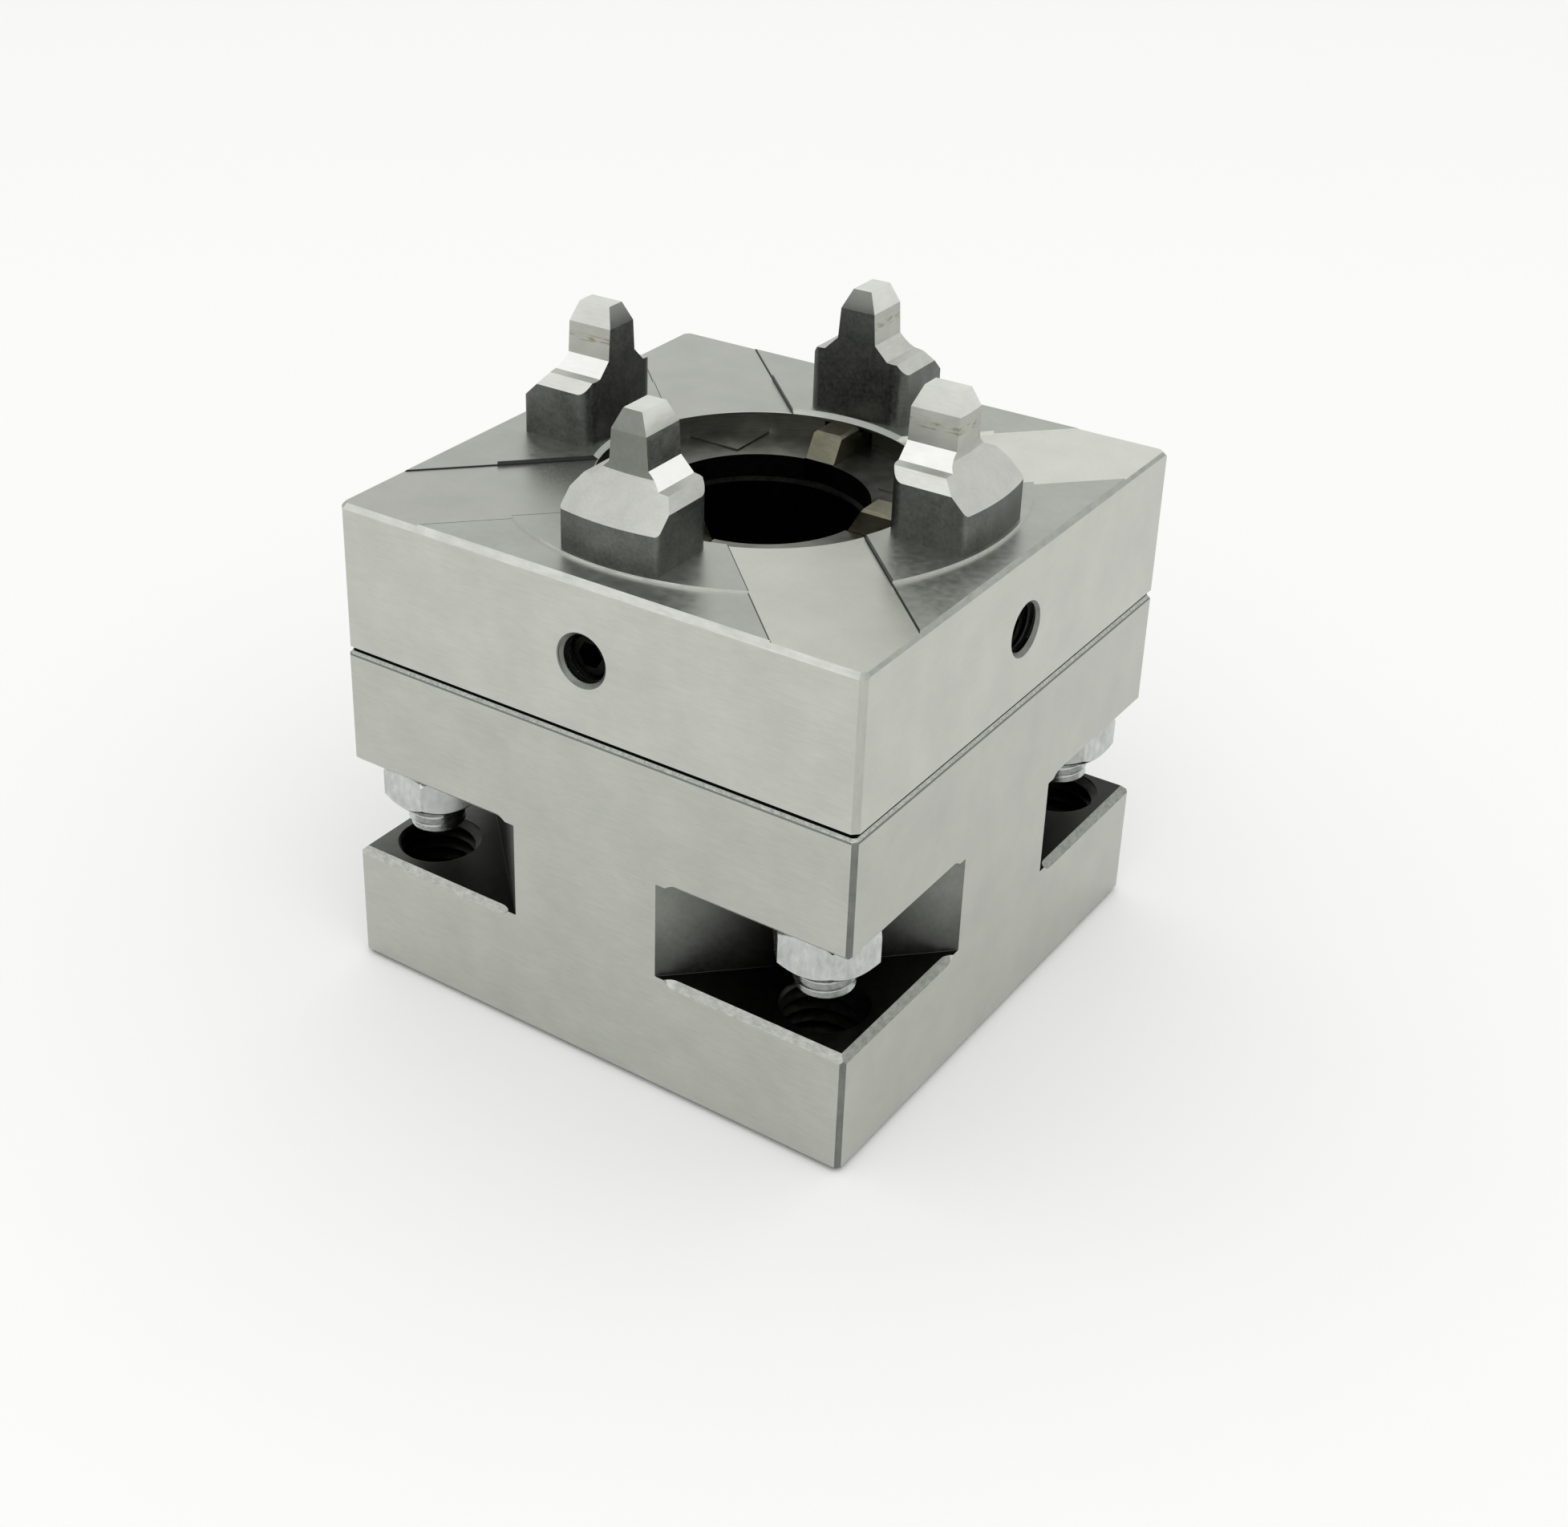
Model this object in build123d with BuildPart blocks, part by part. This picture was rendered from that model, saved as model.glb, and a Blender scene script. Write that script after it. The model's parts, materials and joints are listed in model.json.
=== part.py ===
from build123d import *
import os

os.makedirs("parts", exist_ok=True)

# Square quick-change chuck: a plate with four centring prongs on a notched base block.
# Millimetres, +Z up, origin at the centre of the block's underside.
# East is +X, north is +Y. One clamping jaw and one set screw face each side.

# Square block
side = 50.0
lower_flange = 11.3
notch_height = 8.9
upper_flange = 11.0
block_corner = 0.4
block_top_edge = 0.3
block_bottom_edge = 0.5
block_bore_edge = 0.8

# Top plate
plate_thickness = 13.5
plate_corner = 0.5
plate_edge = 0.42
plate_side_edge = 0.27
joint_gap = 0.32
joint_gap_width = 1.2
ring_radius = 22.3
ring_rise = 0.35
outer_rise = 0.1
pad_width = 11.0

# Bore
recess_radius = 14.1
recess_depth = 2.0
recess_edge = 0.4
cross_half_width = 7.1
cross_depth = 0.15
bore_radius = 9.2
lip_thickness = 2.0

# Centring prongs: radial sizes from the axis, half widths across, heights above the ring
prong_inside_ring_edge = 0.3
prong_half_width = 4.7
prong_inner_corner = 1.3
prong_outer_corner = 0.4
prong_base_height = 4.7
prong_outer_height = 3.35
prong_slope_width = 0.7
prong_step_height = 5.75
prong_step_width = 0.9
prong_step_rise = 0.1
finger_root_half_width = 1.85
finger_root_height = 7.1
finger_half_width = 1.65
finger_height = 9.85
finger_setback = 3.1
finger_fillet = 1.5
tip_half_width = 0.88
tip_height = 11.55
tip_inner_bevel = 0.65
tip_outer_bevel = 0.6

# Fasteners
fastener_inset = 5.0
stud_radius = 2.5
stud_in_plate = 8.8
stud_past_nut = 2.8
stud_edge = 0.4
nut_across_flats = 8.0
nut_height = 4.0
nut_face_ratio = 0.95
nut_edge_height = 0.45
nut_room = 0.9
thread_clearance = 0.05
stud_hole_clearance = 0.25
blind_hole_spare = 0.3
base_thread_radius = 3.3
base_thread_edge = 0.3

# Set screws
screw_depth_below_pads = 6.75
screw_radius = 2.0
screw_recess = 1.2
screw_edge = 0.3
screw_socket_across_flats = 2.0
screw_socket_depth = 2.2
screw_hole_mouth = 0.35
point_radius = 1.2
point_length = 1.9
point_edge = 0.2
point_clearance = 0.07
shoulder_gap = 0.05

# Clamping jaws
jaw_travel = 0.7
jaw_width = 2.8
jaw_nose_setback = 0.05
jaw_nose_slope = 1.3
jaw_foot_gap = 0.4
jaw_neck_depth = 2.6
jaw_tail_depth = 1.8
jaw_below_screw = 2.4
jaw_above_screw = 2.8
jaw_head_gap = 0.8
jaw_top_below_ring = 0.1
jaw_top_edge = 0.25
slide_clearance = 0.05
slot_end_clearance = 0.8
mouth_width = 4.8
mouth_end_gap = 0.6
mouth_height = 1.7
mouth_roof_gap = 0.3

# Guide sleeve and dowels
sleeve_inset = 0.3
sleeve_seat_depth = 2.6
sleeve_ledge = 1.5
sleeve_fit = 0.03
sleeve_edge = 0.4
dowel_radius = 2.0
dowel_in_block = 5.0
dowel_roof = 0.4
dowel_inset = 4.5
dowel_fit = 0.02
dowel_edge = 0.3

# Heights worked out from the sizes above
notch_bottom = lower_flange
notch_top = notch_bottom + notch_height
block_top = notch_top + upper_flange
pad_z = block_top + plate_thickness
ring_z = pad_z + ring_rise
outer_z = pad_z + outer_rise
recess_z = pad_z - recess_depth
sleeve_top = recess_z - lip_thickness
screw_z = pad_z - screw_depth_below_pads
screw_hole_radius = screw_radius + thread_clearance
dowel_in_plate = screw_z - screw_hole_radius - dowel_roof - blind_hole_spare - block_top
prong_top = ring_z + tip_height
nut_z = notch_top - nut_height
jaw_bottom = screw_z - jaw_below_screw
jaw_tail_top = screw_z + jaw_above_screw
jaw_top = ring_z - jaw_top_below_ring
neck_top = recess_z + mouth_height - mouth_roof_gap

# Places across the block, worked out from the axis and the sides
half = side / 2
fastener_at = half - fastener_inset
dowel_at = half - dowel_inset
nut_corner_radius = nut_across_flats / 3**0.5
notch_leg = 2 * fastener_inset + (nut_corner_radius + nut_room) * 2**0.5
prong_inner = recess_radius + recess_edge
prong_outer = ring_radius - prong_inside_ring_edge
prong_step_half_width = prong_half_width - prong_slope_width
finger_outer = prong_outer - finger_setback
sleeve_inner_radius = bore_radius - sleeve_inset
sleeve_seat_radius = sleeve_inner_radius + sleeve_seat_depth
block_bore_radius = sleeve_seat_radius - sleeve_ledge
jaw_nose = bore_radius + jaw_nose_setback
jaw_head_back = recess_radius - jaw_head_gap
jaw_foot_front = sleeve_seat_radius + jaw_travel + jaw_foot_gap
jaw_neck_back = jaw_foot_front + jaw_neck_depth
jaw_tail = jaw_neck_back + jaw_tail_depth
screw_inner = jaw_tail + shoulder_gap
screw_outer = half - screw_recess
compass = {"east": 0, "north": 90, "west": 180, "south": 270}
corners = {"ne": (1, 1), "nw": (-1, 1), "sw": (-1, -1), "se": (1, -1)}
nut_turns = {"ne": 22.0, "nw": 41.0, "sw": 55.0, "se": 7.0}


def finish(piece, name):
    """Give a finished piece its name and write it."""
    piece.label = name
    export_step(piece, f"parts/{name}.step")


# Base block: square, with a triangle cut away at each corner between its two flanges
with BuildPart() as base_block:
    with BuildSketch() as outline:
        Rectangle(side, side)
        chamfer(outline.vertices(), block_corner)
    extrude(amount=block_top)
    chamfer(base_block.faces().sort_by(Axis.Z)[-1].edges(), block_top_edge)
    chamfer(base_block.faces().sort_by(Axis.Z)[0].edges(), block_bottom_edge)
    with Locations((0, 0, block_top)):
        Hole(block_bore_radius)
    chamfer(base_block.edges().filter_by(GeomType.CIRCLE), block_bore_edge)
    with BuildSketch(Plane.XY.offset(notch_bottom)) as notches:
        for east, north in corners.values():
            with BuildLine():
                Polyline(
                    (east * (half - notch_leg), north * half),
                    (east * half, north * (half - notch_leg)),
                    (east * half, north * half),
                    close=True,
                )
            make_face()
    extrude(amount=notch_height, mode=Mode.SUBTRACT)
    with Locations((0, 0, block_top)):
        with GridLocations(2 * fastener_at, 2 * fastener_at, 2, 2):
            Hole(stud_radius + stud_hole_clearance, depth=upper_flange)
    with Locations((0, 0, notch_bottom)):
        with GridLocations(2 * fastener_at, 2 * fastener_at, 2, 2):
            CounterSinkHole(
                base_thread_radius,
                base_thread_radius + base_thread_edge,
                depth=lower_flange,
                counter_sink_angle=90,
            )
    with Locations((dowel_at, 0, block_top), (-dowel_at, 0, block_top)):
        Hole(dowel_radius + dowel_fit, depth=dowel_in_block + blind_hole_spare)
finish(base_block.part, "base_block")

# One centring prong, standing on the ring to the east
cone_foot_z = ring_z + prong_outer_height
cone_top_z = cone_foot_z + prong_outer - finger_outer
with BuildPart() as prong:
    with BuildSketch(Plane.XY.offset(ring_z)) as foot:
        with Locations(((prong_inner + prong_outer) / 2, 0)):
            Rectangle(prong_outer - prong_inner, 2 * prong_half_width)
        Circle(prong_outer, mode=Mode.INTERSECT)
        fillet(foot.vertices().group_by(Axis.X)[0], prong_inner_corner)
        fillet(foot.vertices().group_by(Axis.X)[-1], prong_outer_corner)
    extrude(amount=tip_height)
    with BuildSketch(Plane.YZ) as flanks:
        with BuildLine():
            Polyline(
                (0, ring_z),
                (prong_half_width, ring_z),
                (prong_half_width, ring_z + prong_base_height),
                (prong_step_half_width, ring_z + prong_step_height),
                (prong_step_half_width - prong_step_width, ring_z + prong_step_height + prong_step_rise),
                (finger_root_half_width, ring_z + finger_root_height),
                (finger_half_width, ring_z + finger_height),
                (tip_half_width, prong_top),
                (0, prong_top),
            )
            mirror(about=Plane.YZ)
        make_face()
    extrude(amount=prong_outer, mode=Mode.INTERSECT)
    with BuildSketch(Plane.XZ) as back:
        with BuildLine():
            Polyline(
                (0, ring_z),
                (prong_outer, ring_z),
                (prong_outer, cone_foot_z),
                (finger_outer, cone_top_z),
                (finger_outer, ring_z + finger_height),
                (finger_outer - tip_outer_bevel, prong_top),
                (0, prong_top),
                close=True,
            )
        make_face()
        fillet(back.vertices().sort_by_distance((finger_outer, cone_top_z))[0], finger_fillet)
    revolve(axis=Axis.Z, mode=Mode.INTERSECT)
    with BuildSketch(Plane.XZ) as front:
        with BuildLine():
            Polyline(
                (prong_inner, ring_z + finger_height),
                (prong_inner, prong_top),
                (prong_inner + tip_inner_bevel, prong_top),
                close=True,
            )
        make_face()
    extrude(amount=prong_half_width, both=True, mode=Mode.SUBTRACT)

# Chuck plate: ring and prongs stand highest, the ground pads run out to the corners
slot_end = jaw_tail + slot_end_clearance
slot_width = jaw_width + 2 * slide_clearance
slot_floor = jaw_bottom - slide_clearance
mouth_end = jaw_neck_back + mouth_end_gap
screw_hole_depth = half - screw_inner + jaw_travel + shoulder_gap
with BuildPart() as chuck_plate:
    with BuildSketch(Plane.XY.offset(block_top)) as blank:
        Rectangle(side, side)
        chamfer(blank.vertices(), plate_corner)
    extrude(amount=ring_z - block_top)
    top_edges = chuck_plate.faces().sort_by(Axis.Z)[-1].edges()
    top_corners = top_edges.filter_by(Axis.X, reverse=True).filter_by(Axis.Y, reverse=True)
    chamfer(top_edges.filter_by(Axis.X) + top_corners, ring_rise + plate_edge)
    chamfer(chuck_plate.faces().sort_by(Axis.Z)[-1].edges().filter_by(Axis.Y), ring_rise + plate_side_edge)
    with BuildSketch(Plane.XY.offset(block_top)) as joint_edge:
        Rectangle(side, side)
        Rectangle(side - 2 * joint_gap_width, side - 2 * joint_gap_width, mode=Mode.SUBTRACT)
    extrude(amount=joint_gap, mode=Mode.SUBTRACT)
    with BuildSketch(Plane.XY.offset(outer_z)) as outside_ring:
        Rectangle(side, side)
        Circle(ring_radius, mode=Mode.SUBTRACT)
    extrude(amount=ring_z - outer_z, mode=Mode.SUBTRACT)
    with BuildSketch(Plane.XY.offset(pad_z)) as pads:
        Rectangle(2 * side, pad_width, rotation=45)
        Rectangle(2 * side, pad_width, rotation=-45)
    extrude(amount=ring_z - pad_z, mode=Mode.SUBTRACT)
    with BuildSketch(Plane.XZ) as recess:
        with BuildLine():
            Polyline(
                (0, recess_z),
                (recess_radius, recess_z),
                (recess_radius, ring_z - recess_edge),
                (recess_radius + recess_edge, ring_z),
                (0, ring_z),
                close=True,
            )
        make_face()
    revolve(axis=Axis.Z, mode=Mode.SUBTRACT)
    with BuildSketch(Plane.XY.offset(recess_z)) as quadrants:
        Circle(recess_radius)
        Rectangle(2 * cross_half_width, side, mode=Mode.SUBTRACT)
        Rectangle(side, 2 * cross_half_width, mode=Mode.SUBTRACT)
    extrude(amount=cross_depth)
    with BuildSketch(Plane.XY.offset(block_top)) as sleeve_seat:
        Circle(sleeve_seat_radius)
    extrude(amount=sleeve_top - block_top, mode=Mode.SUBTRACT)
    with BuildSketch(Plane.XY.offset(sleeve_top)) as bore:
        Circle(bore_radius)
    extrude(amount=recess_z - sleeve_top, mode=Mode.SUBTRACT)
    with PolarLocations(0, 4):
        with Locations((slot_end / 2, 0, (slot_floor + recess_z) / 2)):
            Box(slot_end, slot_width, recess_z - slot_floor, mode=Mode.SUBTRACT)
        with Locations((mouth_end / 2, 0, recess_z + mouth_height / 2)):
            Box(mouth_end, mouth_width, mouth_height, mode=Mode.SUBTRACT)
        add(prong.part)
    with PolarLocations(half, 4):
        with Locations(Location((0, 0, screw_z), (0, 90, 0))):
            CounterSinkHole(
                screw_hole_radius,
                screw_hole_radius + screw_hole_mouth,
                depth=screw_hole_depth,
                counter_sink_angle=90,
            )
    with Locations(Location((0, 0, block_top), (180, 0, 0))):
        with GridLocations(2 * fastener_at, 2 * fastener_at, 2, 2):
            Hole(stud_radius + thread_clearance, depth=stud_in_plate + blind_hole_spare)
        with Locations((dowel_at, 0), (-dowel_at, 0)):
            Hole(dowel_radius + dowel_fit, depth=dowel_in_plate + blind_hole_spare)
finish(chuck_plate.part, "chuck_plate")

# Guide sleeve: seated on the block, its top under the lip of the plate
with BuildPart() as guide_sleeve:
    with BuildSketch(Plane.XY.offset(block_top)) as sleeve_wall:
        Circle(sleeve_seat_radius - sleeve_fit)
        Circle(sleeve_inner_radius, mode=Mode.SUBTRACT)
    extrude(amount=sleeve_top - block_top)
    inner_rims = guide_sleeve.edges().filter_by(GeomType.CIRCLE).sort_by(SortBy.RADIUS)[:2]
    chamfer(inner_rims, sleeve_edge)
finish(guide_sleeve.part, "guide_sleeve")

# Dowel pins that locate the plate on the block
for name, place in (("east", dowel_at), ("west", -dowel_at)):
    with BuildPart() as dowel_pin:
        with BuildSketch(Plane.XY.offset(block_top + dowel_in_plate)) as dowel_end:
            with Locations((place, 0)):
                Circle(dowel_radius)
        extrude(amount=-dowel_in_plate - dowel_in_block)
        chamfer(dowel_pin.faces().sort_by(Axis.Z)[0].edges(), dowel_edge)
    finish(dowel_pin.part, f"dowel_pin_{name}")

# Studs and nuts that pull the plate down; each nut stopped turning at its own angle
nut_face_radius = nut_face_ratio * nut_across_flats / 2
for name, (east, north) in corners.items():
    centre = (east * fastener_at, north * fastener_at)
    with BuildPart() as stud:
        with BuildSketch(Plane.XY.offset(nut_z - stud_past_nut)):
            with Locations(centre):
                Circle(stud_radius)
        extrude(amount=block_top + stud_in_plate - nut_z + stud_past_nut)
        chamfer(stud.faces().sort_by(Axis.Z)[0].edges(), stud_edge)
    finish(stud.part, f"stud_{name}")
    with BuildPart() as nut:
        with BuildSketch(Plane.XY.offset(nut_z)):
            with Locations(centre):
                RegularPolygon(nut_corner_radius, 6, rotation=nut_turns[name])
        extrude(amount=nut_height)
        with BuildSketch(Plane(origin=(*centre, nut_z), x_dir=(1, 0, 0), z_dir=(0, -1, 0))):
            with BuildLine():
                Polyline(
                    (0, 0),
                    (nut_face_radius, 0),
                    (nut_corner_radius, nut_edge_height),
                    (nut_corner_radius, nut_height - nut_edge_height),
                    (nut_face_radius, nut_height),
                    (0, nut_height),
                    close=True,
                )
            make_face()
        revolve(axis=Axis((*centre, nut_z), (0, 0, 1)), mode=Mode.INTERSECT)
        with Locations((*centre, notch_top)):
            Hole(stud_radius + thread_clearance)
    finish(nut.part, f"nut_{name}")

# Clamping jaw facing east: its head stands over the lip, its foot slides behind the sleeve
with BuildPart() as jaw:
    with BuildSketch(Plane.XZ) as jaw_side:
        with BuildLine():
            Polyline(
                (jaw_foot_front, jaw_bottom),
                (jaw_foot_front, recess_z),
                (jaw_nose, recess_z),
                (jaw_nose + jaw_nose_slope, jaw_top),
                (jaw_head_back, jaw_top),
                (jaw_head_back, neck_top),
                (jaw_neck_back, neck_top),
                (jaw_neck_back, jaw_tail_top),
                (jaw_tail, jaw_tail_top),
                (jaw_tail, jaw_bottom),
                close=True,
            )
        make_face()
    extrude(amount=jaw_width / 2, both=True)
    head_edges = jaw.edges().filter_by(GeomType.LINE).group_by(Axis.Z)[-1].filter_by(Axis.X)
    chamfer(head_edges, jaw_top_edge)
    with Locations(Location((jaw_tail, 0, screw_z), (0, 90, 0))):
        Hole(point_radius + point_clearance, depth=point_length + shoulder_gap)

# Set screw facing east: hexagon socket outside, turned point in the tail of the jaw
screw_end = Plane(origin=(screw_inner, 0, screw_z), x_dir=(0, 1, 0), z_dir=(1, 0, 0))
with BuildPart() as set_screw:
    with BuildSketch(screw_end):
        Circle(screw_radius)
    extrude(amount=screw_outer - screw_inner)
    chamfer(set_screw.edges().filter_by(GeomType.CIRCLE), screw_edge)
    with BuildSketch(screw_end):
        Circle(point_radius)
    extrude(amount=-point_length)
    chamfer(set_screw.faces().sort_by(Axis.X)[0].edges(), point_edge)
    with BuildSketch(screw_end.offset(screw_outer - screw_inner)):
        RegularPolygon(screw_socket_across_flats / 3**0.5, 6)
    extrude(amount=-screw_socket_depth, mode=Mode.SUBTRACT)
for name, angle in compass.items():
    for piece, kind in ((jaw, "jaw"), (set_screw, "set_screw")):
        with BuildPart() as turned:
            add(piece.part, rotation=(0, 0, angle))
        finish(turned.part, f"{kind}_{name}")
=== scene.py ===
# %% [markdown]
# A square quick-change chuck of ground steel: a plate with four centring prongs, bolted onto a
# base block with a triangular notch at each corner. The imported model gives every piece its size
# and place. This lesson dresses those pieces: softened edges, real threads, and a finish for each
# way that a surface was machined.

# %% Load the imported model
import json
import math

import bpy
from mathutils import Euler, Matrix, Vector

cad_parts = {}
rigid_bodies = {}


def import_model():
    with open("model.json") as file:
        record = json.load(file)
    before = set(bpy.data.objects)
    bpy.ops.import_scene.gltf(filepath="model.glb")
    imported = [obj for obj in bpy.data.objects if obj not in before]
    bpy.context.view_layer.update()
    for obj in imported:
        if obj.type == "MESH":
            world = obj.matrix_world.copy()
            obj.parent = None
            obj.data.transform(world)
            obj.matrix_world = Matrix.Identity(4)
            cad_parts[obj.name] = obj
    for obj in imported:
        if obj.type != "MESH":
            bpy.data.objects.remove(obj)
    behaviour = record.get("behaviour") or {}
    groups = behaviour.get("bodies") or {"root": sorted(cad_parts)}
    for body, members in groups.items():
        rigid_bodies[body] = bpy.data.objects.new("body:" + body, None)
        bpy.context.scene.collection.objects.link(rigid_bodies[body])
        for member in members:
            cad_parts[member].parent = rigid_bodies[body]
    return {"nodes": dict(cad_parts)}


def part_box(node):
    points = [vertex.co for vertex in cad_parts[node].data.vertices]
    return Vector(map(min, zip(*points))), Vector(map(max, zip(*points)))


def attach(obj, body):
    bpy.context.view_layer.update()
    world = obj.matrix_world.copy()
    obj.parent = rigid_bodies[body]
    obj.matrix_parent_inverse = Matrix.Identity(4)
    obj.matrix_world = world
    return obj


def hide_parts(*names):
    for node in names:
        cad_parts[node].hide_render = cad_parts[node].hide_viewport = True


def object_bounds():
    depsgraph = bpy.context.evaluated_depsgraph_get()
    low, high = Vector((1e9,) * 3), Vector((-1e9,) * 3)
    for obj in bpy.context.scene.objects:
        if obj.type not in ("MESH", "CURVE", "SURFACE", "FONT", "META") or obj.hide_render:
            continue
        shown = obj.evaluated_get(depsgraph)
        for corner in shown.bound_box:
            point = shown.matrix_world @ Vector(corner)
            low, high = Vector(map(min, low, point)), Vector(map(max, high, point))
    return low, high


bpy.ops.object.select_all(action="SELECT")
bpy.ops.object.delete()
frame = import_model()
cad_low, cad_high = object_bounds()
MM = 0.001
print("nodes:", len(frame["nodes"]))
print("packed size in mm:", [round((b - a) / MM, 2) for a, b in zip(cad_low, cad_high)])

# %% [markdown]
# Every operator works on what is selected, and the loader leaves all its pieces selected. So one
# helper clears the selection and picks a single piece. A second one runs an edit on all of a
# piece's faces and comes back to object mode.

# %% Pick one piece, and edit it
def pick(piece):
    """Make one piece the only one selected, and the active one."""
    bpy.ops.object.select_all(action="DESELECT")
    piece.select_set(True)
    bpy.context.view_layer.objects.active = piece


def pick_none():
    """Clear the selection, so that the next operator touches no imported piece."""
    bpy.ops.object.select_all(action="DESELECT")


def edit_all(piece, operator, **settings):
    """Run one mesh operator on all faces of a piece."""
    pick(piece)
    bpy.ops.object.mode_set(mode="EDIT")
    bpy.ops.mesh.select_all(action="SELECT")
    operator(**settings)
    bpy.ops.object.mode_set(mode="OBJECT")


pick_none()
print("pieces picked:", len(bpy.context.selected_objects))

# %% [markdown]
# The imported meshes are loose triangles. A copy is joined at its corners, and flat fans of
# triangles become single faces again, so that a bevel can find the real edges. Each real edge of a
# machined block is broken with a stone: a bevel a few hundredths of a millimetre wide is enough
# to catch the light as a thin line. Smooth shading would let such a bevel bend the look of the big
# flat faces beside it, so the normals are weighted by area and the small faces do the bending.

# %% Copy a node and soften its edges
JOIN_WITHIN = 0.001 * MM
FLAT_WITHIN = math.radians(0.4)
SHARP_FROM = math.radians(22)
LARGEST_FACE_LEADS = 100
BEVEL_STEPS = 2


def copy_node(node, name):
    """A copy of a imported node, with its corners joined and its flat faces whole."""
    source = frame["nodes"][node]
    piece = bpy.data.objects.new(name, source.data.copy())
    bpy.context.scene.collection.objects.link(piece)
    pick(piece)
    bpy.ops.mesh.customdata_custom_splitnormals_clear()
    edit_all(piece, bpy.ops.mesh.remove_doubles, threshold=JOIN_WITHIN)
    edit_all(piece, bpy.ops.mesh.dissolve_limited, angle_limit=FLAT_WITHIN)
    return piece


def apply_modifier(piece, kind, **settings):
    """Add one modifier with its settings and apply it."""
    pick(piece)
    modifier = piece.modifiers.new(kind.title(), kind)
    for key, value in settings.items():
        setattr(modifier, key, value)
    bpy.ops.object.modifier_apply(modifier=modifier.name)


def soften(piece, width, steps=BEVEL_STEPS):
    """Break the sharp edges of a piece."""
    limit = {"limit_method": "ANGLE", "angle_limit": SHARP_FROM}
    apply_modifier(piece, "BEVEL", width=width, segments=steps, **limit)


def smooth(piece):
    """Shade gentle turns smooth, keep the rest crisp, and let the small faces do the bending."""
    pick(piece)
    bpy.ops.object.shade_smooth_by_angle(angle=SHARP_FROM)
    apply_modifier(piece, "WEIGHTED_NORMAL", keep_sharp=True, weight=LARGEST_FACE_LEADS)


print("edges count as sharp from", round(math.degrees(SHARP_FROM)), "degrees")

# %% [markdown]
# A real thread is a groove that winds along a bar. Its profile, one pitch high, is drawn as a
# chain of points that starts from a single corner. The Screw modifier then winds that chain round
# the Z axis, one pitch per turn, and two cuts close the bar at its ends. The bar is only a tool:
# it is turned and moved to a place, and cuts a thread into a hole or leaves one on a stud.

# %% Make a threaded bar
THREAD_STEPS = 40
PITCHES_BELOW_START = 2
# Shares of one pitch: the root, each flank and the crest add up to 1.
ROOT_SHARE = 0.2
FLANK_SHARE = 0.34
CREST_SHARE = 0.12


def threaded_bar(minor, major, pitch, length, turn, start):
    """A threaded bar from the point start, along Z turned by the given angles."""
    pick_none()
    bpy.ops.mesh.primitive_plane_add(size=pitch, location=(minor, 0, -PITCHES_BELOW_START * pitch))
    bar = bpy.context.object
    bar.name = "threaded_bar"
    bpy.ops.object.transform_apply()
    bpy.ops.object.mode_set(mode="EDIT")
    bpy.ops.mesh.merge(type="CENTER")
    tall = major - minor
    for outwards, up in ((0, ROOT_SHARE), (tall, FLANK_SHARE), (0, CREST_SHARE), (-tall, FLANK_SHARE)):
        move = {"value": (outwards, 0, up * pitch)}
        bpy.ops.mesh.extrude_vertices_move(TRANSFORM_OT_translate=move)
    bpy.ops.object.mode_set(mode="OBJECT")
    apply_modifier(
        bar,
        "SCREW",
        screw_offset=pitch,
        steps=THREAD_STEPS,
        render_steps=THREAD_STEPS,
        iterations=math.ceil(length / pitch) + 2 * PITCHES_BELOW_START,
    )
    edit_all(bar, bpy.ops.mesh.remove_doubles, threshold=JOIN_WITHIN)
    for height, direction in ((0, -1), (length, 1)):
        plane = {"plane_co": (0, 0, height), "plane_no": (0, 0, direction)}
        close = {"use_fill": True, "clear_outer": True, "threshold": JOIN_WITHIN}
        edit_all(bar, bpy.ops.mesh.bisect, **plane, **close)
    edit_all(bar, bpy.ops.mesh.normals_make_consistent)
    bar.rotation_euler = turn
    bar.location = start
    bpy.ops.object.transform_apply()
    return bar


def cut(piece, tool, operation):
    """Cut a piece with a tool, or keep only what lies in the tool; the tool is used up."""
    apply_modifier(piece, "BOOLEAN", object=tool, operation=operation, solver="EXACT")
    bpy.data.objects.remove(tool)


print("a thread has", THREAD_STEPS, "steps in each turn")

# %% [markdown]
# The corner studs pull the plate down onto the block and are threaded all the way. One is modelled
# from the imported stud: whatever lies outside a threaded bar is cut off, which keeps the stud's own
# ends. The other three are copies, each with a mesh of its own, moved to their corners.

# %% Studs with an M5 thread
STUD_RADIUS = 2.5 * MM
STUD_ROOT = 2.02 * MM
STUD_PITCH = 0.8 * MM
THREAD_PAST_END = 1 * MM
corners = {"ne": (1, 1), "nw": (-1, 1), "sw": (-1, -1), "se": (1, -1)}
stud_low, stud_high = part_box("stud_ne")
stud_at = (stud_low[0] + stud_high[0]) / 2
stud_start = stud_low[2] - THREAD_PAST_END
stud_length = stud_high[2] - stud_low[2] + 2 * THREAD_PAST_END


def moved_copy(piece, name, matrix):
    """A copy of a piece with its own mesh, moved in the mesh itself."""
    twin = bpy.data.objects.new(name, piece.data.copy())
    bpy.context.scene.collection.objects.link(twin)
    twin.matrix_world = matrix
    pick(twin)
    bpy.ops.object.transform_apply()
    return twin


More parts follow.
